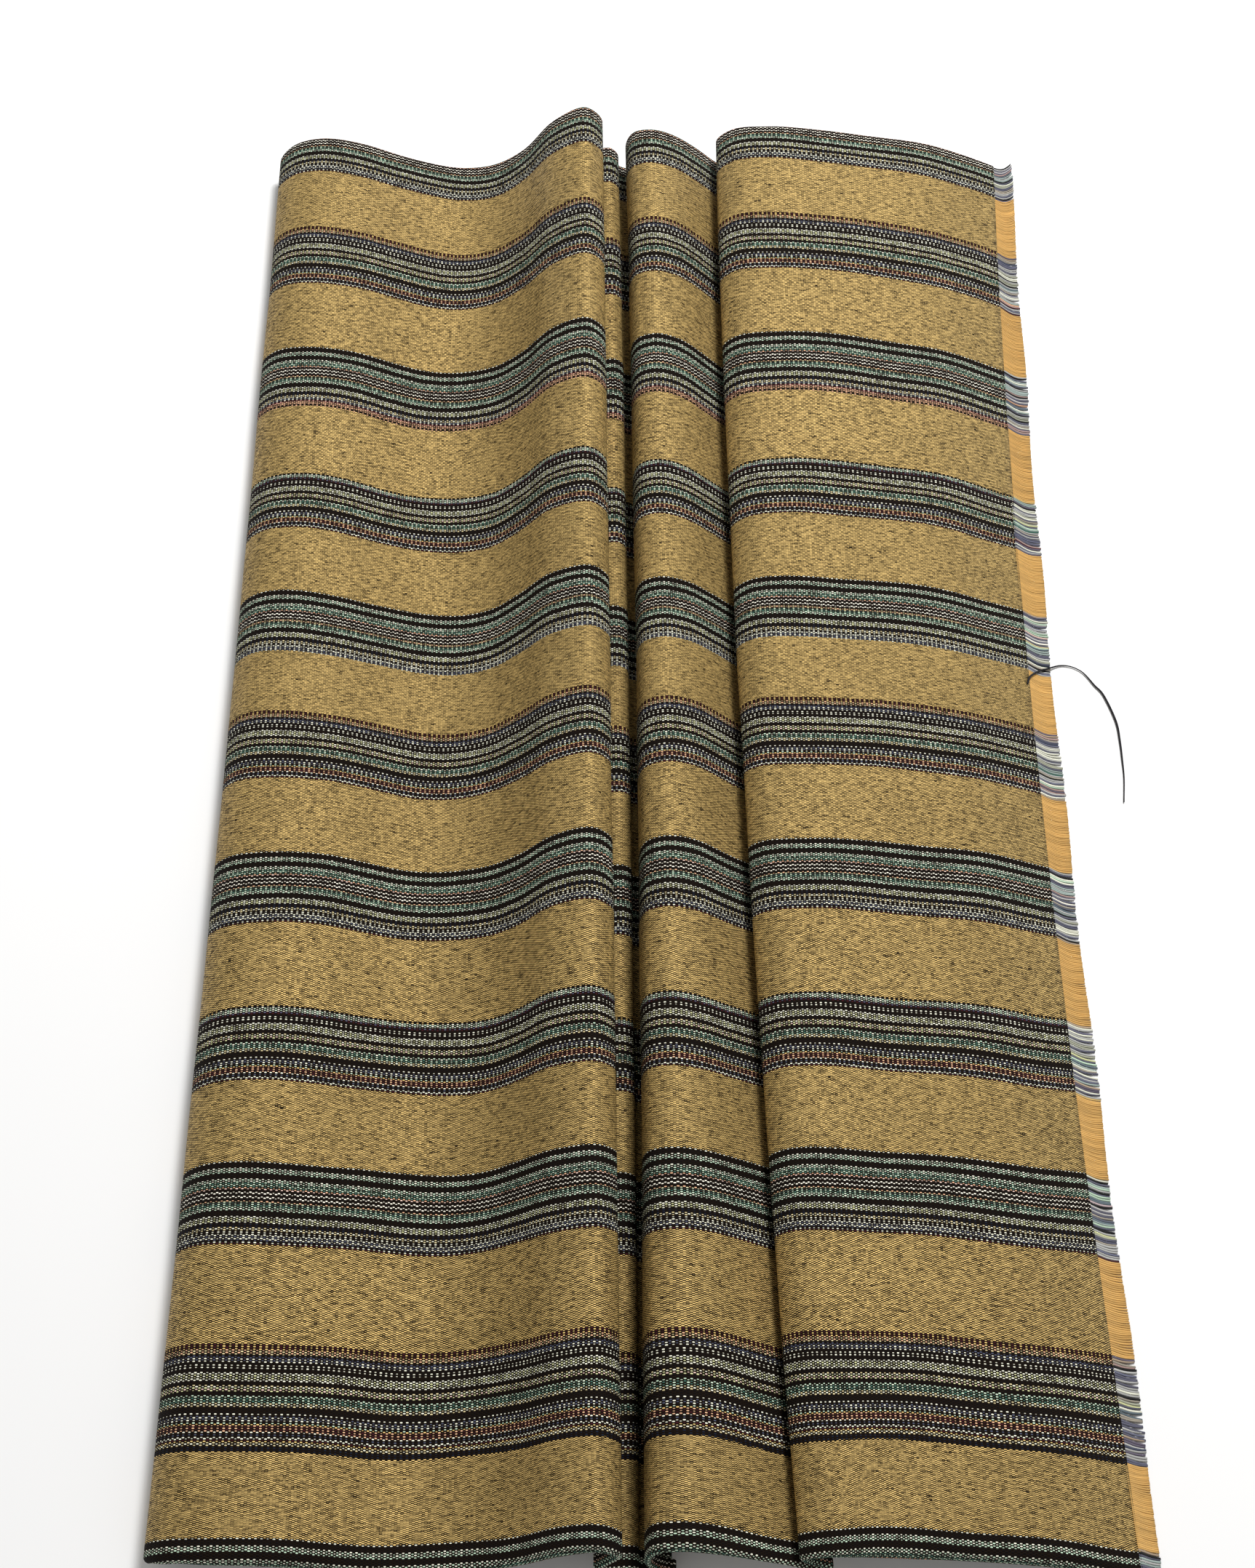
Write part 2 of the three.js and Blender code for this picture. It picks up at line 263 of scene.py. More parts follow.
# %% Chart the striped bands
WIDE_HEART = [
    (1, "pale", "pale"), (1, "black", "black"), (1, "pale", "pale"), (2, "lime", "pale"),
    (1, "pale", "pale"), (1, "black", "black"), (1, "cream", "pale"), (2, "lime", "blush"),
    (1, "black", "black"), (1, "mint", "pale"), (2, "teal", "mint"), (2, "cream", "pale"),
    (1, "black", "black"), (1, "black", "pale"), (1, "pale", "black"), (2, "slate", "pale"),
    (1, "black", "mint"), (1, "gold", "peach"), (2, "maroon", "peach"), (1, "pale", "pale"),
    (1, "slate", "black"), (1, "pale", "pale"), (1, "maroon", "gold"),
]
WIDE_FULL = [
    (2, "maroon", "gold"), (2, "peach", "cream"), (1, "black", "slate"), (2, "slate", "pale"),
    (1, "black", "pale"), (1, "pale", "black"), *WIDE_HEART,
]
WIDE_SHORT = [
    (1, "black", "gold"), (2, "mint", "pale"), (1, "violet", "maroon"), (1, "black", "pale"),
    (1, "pale", "black"), *WIDE_HEART,
]
WIDE_LAST = [*WIDE_FULL, (2, "cream", "pale"), (2, "navy", "black")]
NARROW_HEART = [
    (1, "pale", "gold"), (2, "black", "black"), (2, "pale", "mint"), (1, "mint", "pale"),
    (2, "black", "black"), (2, "pale", "mint"), (1, "teal", "mint"), (1, "mint", "teal"),
    (1, "peach", "blush"), (1, "ink", "ink"), (1, "white", "white"), (1, "ink", "ink"),
    (1, "white", "white"), (1, "ink", "ink"), (1, "peach", "cream"), (1, "dark_teal", "mint"),
    (1, "teal", "mint"), (2, "mint", "pale"), (2, "black", "black"), (1, "pale", "pale"),
    (2, "lime", "pale"), (2, "black", "navy"), (2, "cream", "pale"),
]
NARROW = [
    *NARROW_HEART, (1, "pale", "black"), (1, "pale", "pale"), (1, "slate", "pale"),
    (1, "pale", "slate"), (1, "ink", "pale"), (1, "maroon", "gold"),
]
NARROW_PEACH = [
    *NARROW_HEART, (1, "slate", "pale"), (1, "maroon", "pink"), (2, "peach", "peach"),
    (1, "black", "peach"),
]
NARROW_BLUE = [*NARROW_HEART, (1, "black", "pale"), (1, "pale", "pale"), (2, "slate", "pale")]
GOLD_YARNS = 44


def yarns_in(chart):
    return sum(count for count, first, second in chart)


print("yarn rows in the widest and the narrowest band:", yarns_in(WIDE_LAST), yarns_in(WIDE_SHORT))

# %% [markdown]
# The bands follow each other from the far fold to the near one. Each has its measured width, because a
# hand weaver's beat and tension vary, and its number of yarns comes from its chart.

# %% Set out the bands across the cloth
LENGTH = 694
BANDS = [
    {"kind": "gold", "width": 37}, {"kind": "narrow", "width": 34}, {"kind": "gold", "width": 36.5},
    {"kind": "wide", "width": 36.5}, {"kind": "gold", "width": 40}, {"kind": "narrow peach", "width": 36},
    {"kind": "gold", "width": 40}, {"kind": "wide short", "width": 31}, {"kind": "gold", "width": 34},
    {"kind": "narrow blue", "width": 32}, {"kind": "gold", "width": 30.5}, {"kind": "wide", "width": 33.5},
    {"kind": "gold", "width": 35}, {"kind": "narrow", "width": 33}, {"kind": "gold", "width": 37},
    {"kind": "wide short", "width": 32}, {"kind": "gold", "width": 33}, {"kind": "narrow", "width": 33},
    {"kind": "gold", "width": 37.5}, {"kind": "wide last", "width": 39.5}, {"kind": "gold", "width": 30},
    {"kind": "narrow", "width": 34}, {"kind": "gold", "width": 37},
]
FIRST_GOLD_BAND = 2
FIRST_GOLD_AT = 322.5
CHARTS = {
    "wide": WIDE_FULL, "wide short": WIDE_SHORT, "wide last": WIDE_LAST,
    "narrow": NARROW, "narrow peach": NARROW_PEACH, "narrow blue": NARROW_BLUE,
}
YARNS = {"gold": GOLD_YARNS, **{kind: yarns_in(chart) for kind, chart in CHARTS.items()}}

widths = np.array([band["width"] for band in BANDS])
band_edges = np.concatenate([[0], np.cumsum(widths)])
band_edges = band_edges - band_edges[FIRST_GOLD_BAND] - FIRST_GOLD_AT
yarn_edges = np.concatenate([[0], np.cumsum([YARNS[band["kind"]] for band in BANDS])])
print(len(BANDS), "bands from", band_edges[0], "to", band_edges[-1], "mm,", yarn_edges[-1], "yarns")

# %% [markdown]
# ## The folds
# The section runs from the fringed edge over the pleats, round the left fold and back below to the hidden
# end. The table has the same fold points as the solid, so the fine cloth follows it closely. x is from the
# gap beside the middle fold, z is the height of the sheet's middle, and far and near are the two ends. Bow
# and rise bend a fold line at mid length, and the last three columns shape its turned far and near edges.

# %% Write down the section
THICK = 1.0
SECTION = [
    # far x, far z, near x, near z, steps, bow, rise, roll, hem, back
    (184.5, 6, 183.5, 6, 2, -8.5, 0, 2, 16, 0),
    (171, 13, 170, 13.5, 2, -7.5, 1, 2.6, 18, 0),
    (150, 21.5, 148, 24.5, 2, -6, 2, 3.2, 20, 0),
    (123, 26.5, 120, 32.5, 2, -3, 2, 3.2, 20, 0),
    (95, 31, 98, 36, 3, -2, 2.5, 3.2, 20, 0),
    (70, 33, 80, 37.5, 3, -2, 3, 2.6, 18, 0),
    (52, 30.5, 66.5, 35.5, 4, -4, 3, 1.4, 10, 0),
    (44.5, 23, 60.2, 30, 3, -4, 2, 0.8, 4, 0),
    (47, 16, 62.5, 25, 2, -4, 1, 0.8, 4, 0),
    (52, 11.6, 67, 21, 3, -4, 0, 0.8, 4, 0),
    (56, 8.2, 70.5, 17, 3, -4, 0, 0.8, 4, 0),
    (52, 5, 66.5, 15, 2, -4, 0, 0.8, 4, 0),
    (45.5, 7.4, 58.5, 22.5, 2, -4, 0, 0.8, 5, 0),
    (35, 17.5, 46, 32, 2, -3, 0, 1.4, 10, 0),
    (23, 27.3, 33, 41, 2, -1, 0, 2.4, 18, 0),
    (12, 31, 20, 45.5, 3, 0, 0, 2.4, 18, 0),
    (3.2, 28.4, 9.8, 41.5, 3, 1.5, 0, 1.2, 8, 0),
    (-0.2, 21.5, 6.6, 31, 2, 1.5, 0, 0.8, 4, 0),
    (0.4, 15, 7.2, 19, 2, 1.5, 0, 0.8, 4, 0),
    (6, 11.2, 11, 11.6, 3, 1, 0, 0.8, 4, 0),
    (11.4, 7.8, 15.2, 7.8, 3, 1, 0, 0.8, 4, 0),
    (8, 4.9, 12.4, 4.9, 2, 1, 0, 0.8, 4, 0),
    (0.5, 3.8, 9, 3.8, 2, 1, 0, 0.8, 4, 0),
    (-5, 6.4, 3.9, 5.4, 2, 1, 0, 0.8, 4, 0),
    (-5.2, 14, 3.8, 9.6, 2, 1, 0, 0.8, 4, 0),
    (-9, 18, 0.6, 12.4, 2, 1, 0, 0.8, 4, 0),
    (-15.6, 17.4, -5.6, 12.4, 2, 0.5, 0, 0.8, 4, 0),
    (-20.8, 21.2, -10, 15.6, 3, 0, 0, 0.8, 4, 0),
    (-17.5, 27.5, -6.8, 22.5, 2, 0, 0, 0.8, 4, 0),
    (-12.8, 36.5, -2.2, 35, 3, 0, 0, 1, 6, 0),
    (-20.5, 45.6, -9.5, 44.6, 3, 0, 0, 2.2, 18, 0),
    (-36, 37.5, -24, 39.5, 3, -1, 1, 3, 20, 0),
    (-51, 18.6, -38, 26.5, 2, -1, 2, 2.6, 20, 0),
    (-66, 7.2, -52, 16.8, 2, 0, 1.5, 1.5, 20, 0),
    (-82, 4.2, -69, 12.2, 2, 0, 0.5, 1.2, 20, 0),
    (-97, 6.8, -86, 13, 2, 0, 0, 1.4, 20, 0),
    (-114, 13.6, -104, 18.4, 2, 0, 0, 2.4, 20, 0),
    (-132, 22, -122, 23.6, 2, 0, 0, 3.2, 20, 0),
    (-150, 25.6, -144, 26.4, 3, 0, 0, 3.2, 20, 0),
    (-165, 22.4, -162, 23.4, 3, 1, 0, 2.6, 16, 1),
    (-173.5, 12.8, -171, 13, 3, 1.5, 0, 1.8, 8, 3),
    (-168.5, 3.8, -166, 3.8, 3, 1.5, 0, 1.2, 4, 8),
    (-158, 0.5, -156, 0.5, 2, 1, 0, 1.1, 4, 14),
    (-128, 0.5, -128, 0.5, 3, 0, 0, 0.8, 4, 28),
    (140, 0.5, 140, 0.5, 1, 0, 0, 0.8, 4, 28),
    (152, 0.5, 152, 0.5, 1, 0, 0, 0.8, 4, 28),
]
FAR_X, FAR_Z, NEAR_X, NEAR_Z, STEPS, BOW, RISE, ROLL, HEM, BACK = np.array(SECTION, dtype=float).T
print(len(SECTION), "fold points")

# %% [markdown]
# A hand-woven cloth bends in smooth curves through its fold points. A centripetal Catmull-Rom spline does
# that without loops where points are close together, as they are in the tight tucks.

# %% Follow the section as a smooth curve
FINER = 2


def stations():
    """Places along the section, as a point number and a share of the way to the next point."""
    places = []
    for i in range(len(SECTION) - 1):
        count = int(STEPS[i]) * FINER
        places += [(i, j / count) for j in range(count)]
    return [*places, (len(SECTION) - 2, 1.0)]


def curve_at(y, place):
    """The point and direction of the section at y, at one place."""
    v = np.clip(0.5 - y / LENGTH, 0, 1)
    bend = 4 * v * (1 - v)
    x = FAR_X + (NEAR_X - FAR_X) * v + BOW * bend
    z = FAR_Z + (NEAR_Z - FAR_Z) * v + RISE * bend
    points = np.stack([x, z], axis=1)
    points = np.vstack([2 * points[0] - points[1], points, 2 * points[-1] - points[-2]])
    i, w = place
    p0, p1, p2, p3 = points[i:i + 4]
    d0, d1, d2 = [math.sqrt(np.linalg.norm(b - a)) for a, b in ((p0, p1), (p1, p2), (p2, p3))]
    t1 = ((p1 - p0) / d0 - (p2 - p0) / (d0 + d1) + (p2 - p1) / d1) * d1
    t2 = ((p2 - p1) / d1 - (p3 - p1) / (d1 + d2) + (p3 - p2) / d2) * d1
    turn = 3 * (p2 - p1) - 2 * t1 - t2
    rest = 2 * (p1 - p2) + t1 + t2
    point = p1 + t1 * w + turn * w ** 2 + rest * w ** 3
    direction = t1 + 2 * turn * w + 3 * rest * w ** 2
    return point, direction / np.linalg.norm(direction)


def eased(column, place):
    """A column of the table, eased from one fold point to the next."""
    i, w = place
    return column[i] + (column[i + 1] - column[i]) * w * w * (3 - 2 * w)


PLACES = stations()
flat_width = 0
for a, b in zip(PLACES[:-1], PLACES[1:]):
    flat_width += np.linalg.norm(curve_at(0, b)[0] - curve_at(0, a)[0])
print(len(PLACES), "stations,", round(flat_width), "mm along the warp when flat")

# %% [markdown]
# ## The sheet
# The cloth is a grid: one way along the section, the other way across the stripes, through the turned
# edge, over the open span and through the other turned edge. Each grid point also keeps its place in the
# weave, which is how far along the warp it is and how far across the stripes from mid length.

# %% Lay the grid on the folds
HEM_STEPS = 3
ROLL_STEPS = 8
SPAN_STEPS = 168
RIPPLE = 0.35
RIPPLE_SIZE = 34
RIPPLE_STRETCH = 2.2


def across_cloth(place):
    """From the far hem to the near one: y, how deep inside, and the distance woven from mid length."""
    roll = eased(ROLL, place)
    hem = eased(HEM, place)
    edge = LENGTH / 2 - eased(BACK, place) - THICK / 2
    turned = []
    for i in range(HEM_STEPS):
        left = hem * (1 - i / HEM_STEPS)
        turned.append((edge - roll - left, 2 * roll, edge - roll + math.pi * roll + left))
    for i in range(ROLL_STEPS):
        turn = math.pi * (1 - i / ROLL_STEPS)
        y = edge - roll + roll * math.sin(turn)
        turned.append((y, roll - roll * math.cos(turn), edge - roll + roll * turn))
    span = []
    for i in range(SPAN_STEPS + 1):
        y = (edge - roll) * (1 - 2 * i / SPAN_STEPS)
        span.append((y, 0, y))
    near = [(-y, inset, -woven) for y, inset, woven in turned]
    return turned + span + near[::-1]


def ripple(along, y):
    """The small unevenness that handling leaves in the sheet."""
    at = Vector((along / RIPPLE_SIZE, y / (RIPPLE_SIZE * RIPPLE_STRETCH), 0))
    return RIPPLE * noise.noise(at)


def middle_sheet():
    """The grid of the sheet's middle, and each point's place in the weave."""
    points = []
    weave = []
    along = 0
    for k, place in enumerate(PLACES):
        if k:
            along += np.linalg.norm(curve_at(0, place)[0] - curve_at(0, PLACES[k - 1])[0])
        row = []
        chart = []
        for y, inset, woven in across_cloth(place):
            point, way = curve_at(y, place)
            depth = inset + ripple(along, y)
            x = point[0] - way[1] * depth
            z = max(point[1] + way[0] * depth, THICK / 2)
            row.append((x + GAP_FROM_MIDDLE, y, z))
            chart.append((along, -woven))
        points.append(row)
        weave.append(chart)
    return np.array(points), np.array(weave)


grid, weave = middle_sheet()
print("grid", grid.shape, "lowest", round(grid[..., 2].min(), 2), "highest", round(grid[..., 2].max(), 2))

# %% [markdown]
# The warp isn't ruled straight. It wanders a little as it runs, and handling has pulled the stripes beside
# the free edge towards the far side. Each wander has its size, then how far it runs along and across the
# warp. From the place across the stripes follow the number of the band and the number of the yarn.

# %% Let the stripes drift
WANDERS = [(0.55, 23, 90), (0.35, 9.5, -41)]
EDGE_PULL = 4
PULL_REACH = 45


def edge_pull(woven):
    """How far the stripes at the free edge stand towards the far side."""
    return EDGE_PULL * np.cos(np.pi * np.asarray(woven) / LENGTH)


def drift(weave):
    """How far the stripes stand beside a straight line, everywhere on the grid."""
    along, woven = weave[..., 0], weave[..., 1]
    wander = sum(size * np.sin(along / run + woven / across) for size, run, across in WANDERS)
    return wander + edge_pull(woven) * np.maximum(0, 1 - along / PULL_REACH) ** 2


def band_numbers(woven):
    """The number of the band at a place across the stripes, and how far into it."""
    return np.interp(woven, band_edges, np.arange(len(band_edges)))


def yarn_numbers(woven):
    """The number of the yarn at a place across the stripes, and how far into it."""
    return np.interp(woven, band_edges, yarn_edges)


print("the stripes drift by up to", round(float(np.abs(drift(weave)).max()), 1), "mm")

# %% [markdown]
# A sheet with real thickness shows a true edge at the last weft and casts a proper shadow in the tucks.
# The two faces stand half a thickness to each side of the grid, and strips of faces close the rim.

# %% Close the sheet
def sheet_faces(rows, columns):
    """The faces over and under the grid, and the strips that close its rim."""
    over = np.arange(rows * columns).reshape(rows, columns)
    under = over + rows * columns
    a, b, c, d = over[:-1, :-1], over[1:, :-1], over[1:, 1:], over[:-1, 1:]
    wide = [np.stack([a, b, c, d], axis=-1).reshape(-1, 4)]
    wide.append(np.stack([a, d, c, b], axis=-1).reshape(-1, 4) + rows * columns)
    rim = [
        (over[:-1, 0], under[:-1, 0], under[1:, 0], over[1:, 0]),
        (over[1:, -1], under[1:, -1], under[:-1, -1], over[:-1, -1]),
        (over[0, 1:], under[0, 1:], under[0, :-1], over[0, :-1]),
        (over[-1, :-1], under[-1, :-1], under[-1, 1:], over[-1, 1:]),
    ]
    return np.concatenate(wide), np.concatenate([np.stack(side, axis=-1) for side in rim])


def keep_weave(mesh, chart):
    """Keep each point's place in the weave on the mesh, where the shaders find it."""
    attribute = mesh.attributes.new("weave", "FLOAT_VECTOR", "POINT")
    attribute.data.foreach_set("vector", np.array(chart, dtype=np.float32).ravel())


def sheet_mesh(name, grid, weave):
    """A closed mesh around the grid, with the place in the weave on every point."""
    out = np.cross(np.gradient(grid, axis=0), np.gradient(grid, axis=1))
    out *= THICK / 2 / np.linalg.norm(out, axis=2, keepdims=True)
    vertices = np.concatenate([(grid + out).reshape(-1, 3), (grid - out).reshape(-1, 3)])
    vertices[:, 2] = np.maximum(vertices[:, 2], 0)
    wide, rim = sheet_faces(*grid.shape[:2])
    mesh = bpy.data.meshes.new(name)
    mesh.from_pydata((vertices * MM).tolist(), [], np.concatenate([wide, rim]).tolist())
    mesh.polygons.foreach_set("use_smooth", np.arange(len(mesh.polygons)) < len(wide))
    woven = weave[..., 1] + drift(weave)
    chart = np.stack([weave[..., 0], band_numbers(woven), yarn_numbers(woven)], axis=-1).reshape(-1, 3)
    keep_weave(mesh, np.concatenate([chart, chart]))
    return mesh


def shown(name, mesh, *materials):
    """Put a mesh in the scene, with its materials."""
    piece = bpy.data.objects.new(name, mesh)
    bpy.context.scene.collection.objects.link(piece)
    for material in materials:
        mesh.materials.append(material)
    return piece


cloth_mesh = sheet_mesh("woven_cloth", grid, weave)
print("cloth faces", len(cloth_mesh.polygons))

# %% [markdown]
# ## The weave
# In a warp-faced cloth the wefts are hidden. Between one weft and the next each warp yarn shows as one
# small bead, and past the weft the beads lie half a row lower. So a stripe has a scalloped edge, a single
# white row runs in a zigzag, and a row whose two yarns differ in colour is dotted. A bead has one colour
# all over, which is read from the chart at its centre.

# %% Pick a bead's colour from the charts
PICK = 1.0
TYPICAL_ROWS = 42
BLACK_SPREAD = 0.22


def ramp_stops(chart, column):
    """Hard colour stops across one band, from its chart. Thick black yarns overlap their neighbours."""
    total = yarns_in(chart)
    stops = []
    done = 0
    before = ""
    for entry in chart:
        shift = BLACK_SPREAD * ((before == "black") - (entry[column] == "black"))
        stops.append((max(0, done + shift) / total, YARN[entry[column]]))
        before = entry[column]
        done += entry[0]
    return stops


def chart_colour(chart, across, second):
    """The colour of one band: the first or the second yarn of the row, by which one is up."""
    colours = []
    for column in (1, 2):
        stops = ramp_stops(chart, column)
        colours.append(add(across.tree, "ShaderNodeValToRGB", {"stops": stops}, {0: across}))
    return blended(second, *colours)


def band_mask(number, kind):
    """One where the band is of this kind, zero elsewhere."""
    mask = 0
    for i, band in enumerate(BANDS):
        if band["kind"] == kind:
            mask = mask + number.math("COMPARE", float(i), 0.5)
    return mask


def stripe_colour(band, second, gold):
    """The colour from the chart anywhere on the cloth, and a mask of the gold bands."""
    across = band.part()
    number = band.floor()
    colour = gold
    for kind, chart in CHARTS.items():
        colour = blended(band_mask(number, kind), colour, chart_colour(chart, across, second))
    return colour, band_mask(number, "gold")


print("a bead every", PICK * 2, "mm along a yarn")

# %% [markdown]
# The finishes of the cloth, the fringe and the thread share some helpers. Soft noise makes streaks and
# patches, a number that seems to come by chance sets one bead apart from the next, and a bump gives the
# small relief that is too fine to model.

# %% Get the helpers of the finishes ready
CHANCE_LAYER = 3.0


def new_tree(name):
    """A new material, its node tree and its shader."""
    material = bpy.data.materials.new(name)
    material.use_nodes = True
    return material, material.node_tree, material.node_tree.nodes["Principled BSDF"]


def vector(tree, x, y, z):
    return add(tree, "ShaderNodeCombineXYZ", {}, [x, y, z])


def grain(at, scale, detail=2.0):
    """Soft noise from 0 to 1."""
    return add(at.tree, "ShaderNodeTexNoise", {}, {"Vector": at, "Scale": scale, "Detail": detail})


def soft_spots(along, yarn, fineness, layer, detail=2.0):
    """Soft noise over the weave, with its fineness along the warp and across it."""
    fine_along, fine_across = fineness
    return grain(vector(along.tree, along * fine_along, yarn * fine_across, layer), 1.0, detail)


def chance(tree, x, y):
    """A different number from 0 to 1 for every whole x and y."""
    at = vector(tree, x, y, CHANCE_LAYER)
    return add(tree, "ShaderNodeTexWhiteNoise", {"noise_dimensions": "3D"}, {"Vector": at})


def weave_place(tree):
    """Along the warp, the band number and the yarn number of the point being shaded."""
    place = add(tree, "ShaderNodeAttribute", {"attribute_name": "weave"}, {}, output=1)
    return [add(tree, "ShaderNodeSeparateXYZ", {}, [place], output=i) for i in range(3)]


def raise_relief(shader, height, strength, distance):
    """Small relief on a surface, from a height of 0 to 1."""
    sockets = {"Strength": strength, "Distance": distance * MM, "Height": height}
    bump = add(height.tree, "ShaderNodeBump", {}, sockets)
    height.tree.links.new(bump.socket, shader.inputs["Normal"])


print("finish helpers ready")

# %% [markdown]
# A bead is round across its yarn and dips under the weft at both ends. The gold yarn is stiffer and dips
# less. Between the beads the colour is painted near black as painted shade, for the shadow in the seam,
# and its line is uneven, because no two beads are beaten up the same.

# %% Shape the beads and their seams
WEFT_DIP = 0.4
GOLD_DIP_LESS = 0.22
SEAM_FOOT = 0.66
SEAM_TOP = 0.84
SEAM_BY_STREAK = 0.2
GOLD_SEAM_BY_STREAK = 0.7
SEAM_BY_BEAD = 0.2
SEAM_WIDER = 0.17
GOLD_SEAM_NARROWER = 0.11


def bead_height(pick, side, gold):
    """The height of a bead, from 0 to 1."""
    crown = 1 - (side * 2 - 1) ** 2
    swell = 1 - (pick.part() * 2 - 1).size() ** 3
    weft = WEFT_DIP - gold * GOLD_DIP_LESS
    return crown * (swell * weft + (1 - weft))


def on_yarn(height, gold, luck, streak):
    """One on the yarn and zero in the seam, where the painted shade goes, eased between them."""
    uneven = (streak - 0.5) * (SEAM_BY_STREAK + gold * GOLD_SEAM_BY_STREAK) + luck * SEAM_BY_BEAD
    uneven = uneven - SEAM_WIDER + gold * GOLD_SEAM_NARROWER
    return between(height + uneven, SEAM_FOOT, SEAM_TOP)


print("seams from height", SEAM_FOOT, "to", SEAM_TOP)

# %% [markdown]
# The gold yarn is a flat metallic strip wound round a core. It is duller and greyer where it turns away
# from the light, and single beads flash. That is done with a little metalness and with roughness that
# changes from bead to bead, not with painted highlights.

# %% Make the woven finish
WEFT_WANDER = 2.5
WANDER_FINENESS = (0.03, 0.02)
PATCH_FINENESS = (0.04, 0.05)
STREAK_FINENESS = (0.22, 0.9)
BEAD_LIGHT = 0.39
STRIPES_LIGHTER = 0.15
LIGHT_BY_BEAD = 0.4
LIGHT_BY_STREAK = 0.4
LIGHT_BY_PATCH = 0.3
GOLD_METAL = 0.25
WOVEN_ROUGHNESS = 0.85
GOLD_SMOOTHER = 0.2
FLASH_BY_BEAD = 0.2
WOVEN_GLOSS = 0.1
BEAD_RELIEF = 0.8
BEAD_HEIGHT = 0.3


def woven_finish():
    material, tree, shader = new_tree("woven_stripes")
    along, band, yarn = weave_place(tree)
    pick = along / PICK + soft_spots(along, yarn, WANDER_FINENESS, layer=0.0) * WEFT_WANDER
    second = pick.floor().cycle(2.0)
    row = yarn + second * 0.5
    side = row.part()
    colour, gold = stripe_colour(band + (0.5 - side) / TYPICAL_ROWS, second, YARN["gold"])
    height = bead_height(pick, side, gold)
    luck = chance(tree, pick.floor(), row.floor())
    patch = soft_spots(along, yarn, PATCH_FINENESS, layer=1.0, detail=3.0)
    streak = soft_spots(along, yarn, STREAK_FINENESS, layer=4.0)
    light = BEAD_LIGHT + (1 - gold) * STRIPES_LIGHTER + luck * LIGHT_BY_BEAD
    light = light + streak * LIGHT_BY_STREAK + patch * LIGHT_BY_PATCH
    # the seams get painted shade: where a bead is low its colour goes to near black, for the shadow
    # between the yarns
    colour = blended(on_yarn(height, gold, luck, streak), YARN["painted_seam_shade"], scaled(colour, light))
    roughness = WOVEN_ROUGHNESS - gold * (GOLD_SMOOTHER + luck * FLASH_BY_BEAD)
    tree.links.new(colour.socket, shader.inputs["Base Color"])
    tree.links.new((gold * GOLD_METAL).socket, shader.inputs["Metallic"])
    tree.links.new(roughness.socket, shader.inputs["Roughness"])
    raise_relief(shader, height, BEAD_RELIEF, BEAD_HEIGHT)
    shader.inputs["Specular IOR Level"].default_value = WOVEN_GLOSS
    return material


woven = woven_finish()
print("woven finish", len(woven.node_tree.nodes), "nodes")

# %% [markdown]
# ## The fringe
# Beyond the last weft the warp ends are free. Beside the gold bands their orange cores lie flat and close
# together, and beside the striped bands they draw together in small locks. Each warp yarn gets its own
# thin four-sided strand, so that the fringe has real gaps and an uneven outer edge. How far the ends reach
# is written for the far end, for the near end, and how much more it is at mid length.

# %% Say how far a warp end reaches
END_REACH = (10.5, 8.5, 2)
END_SPREAD = 0.45
GOLD_SPREAD = 0.3
TIP_WAVE = 0.5
TIP_WAVE_RUN = 19
CHANCE_STEP = 1.731
SEED_STEP = 17.3
CHANCE_LEVEL = 0.37
CHANCE_SIZE = 1.6


def chance_of(number, seed):
    """A repeatable number from about -1 to 1."""
    return noise.noise(Vector((number * CHANCE_STEP, seed * SEED_STEP, CHANCE_LEVEL))) * CHANCE_SIZE


def tip_of(x, y, yarn, woven, is_gold):
    """How far right the tip of a warp end is, where the end leaves the cloth at x."""
    v = 0.5 - y / LENGTH
    far_reach, near_reach, more_at_mid = END_REACH
    tip = x + far_reach + (near_reach - far_reach) * v + more_at_mid * 4 * v * (1 - v)
    spread = END_SPREAD * chance_of(yarn, 1) * (GOLD_SPREAD if is_gold else 1)
    tip += TIP_WAVE * math.sin(woven / TIP_WAVE_RUN) + spread
    return tip


print("warp ends reach", END_REACH[0], "mm at the far end")

# %% [markdown]
# The ends also lean to the side. Near the far corner they splay out, whole groups sway together, and the
# yarns of a lock fan out a little from its middle.

# %% Say how far a warp end leans
SPLAY = 10
SPLAY_LENGTH = 110
GROUP_LEAN = 0.6
GROUP_YARNS = 9
GOLD_LEAN = 0.15
STRIPED_LEAN = 0.6
LOCK_YARNS = 5
LOCK_FAN = 0.1
DROOP = 0.3
OPEN_REACH = LENGTH / 2 - ROLL[0]


def lean_of(y, yarn, is_gold):
    """How far the tip of a warp end is from its root, towards the far side."""
    corner = max(0, y - OPEN_REACH + SPLAY_LENGTH) / SPLAY_LENGTH
    lean = SPLAY * corner * corner + GROUP_LEAN * chance_of(yarn / GROUP_YARNS, 2)
    lean += (GOLD_LEAN if is_gold else STRIPED_LEAN) * chance_of(yarn, 3)
    if not is_gold:
        middle_yarn = (yarn // LOCK_YARNS + 0.5) * LOCK_YARNS
        lean += (yarn + 0.5 - middle_yarn) * LOCK_FAN - DROOP
    return lean


print("the open span reaches", OPEN_REACH, "mm from mid length")

# %% [markdown]
# An end leaves the cloth in the sheet's own slope and settles on the floor towards its tip.

# %% Lay the warp ends
END_THICK = 0.5
END_STEPS = 6
ROOT_INSIDE = 0.6
ROOT_RAISED = 0.32
LIFT = 0.35
LIFT_MORE = 0.3
LEAN_CURVE = 1.6


def band_kind(woven):
    return BANDS[int(np.clip(band_numbers(woven), 0, len(BANDS) - 1))]["kind"]


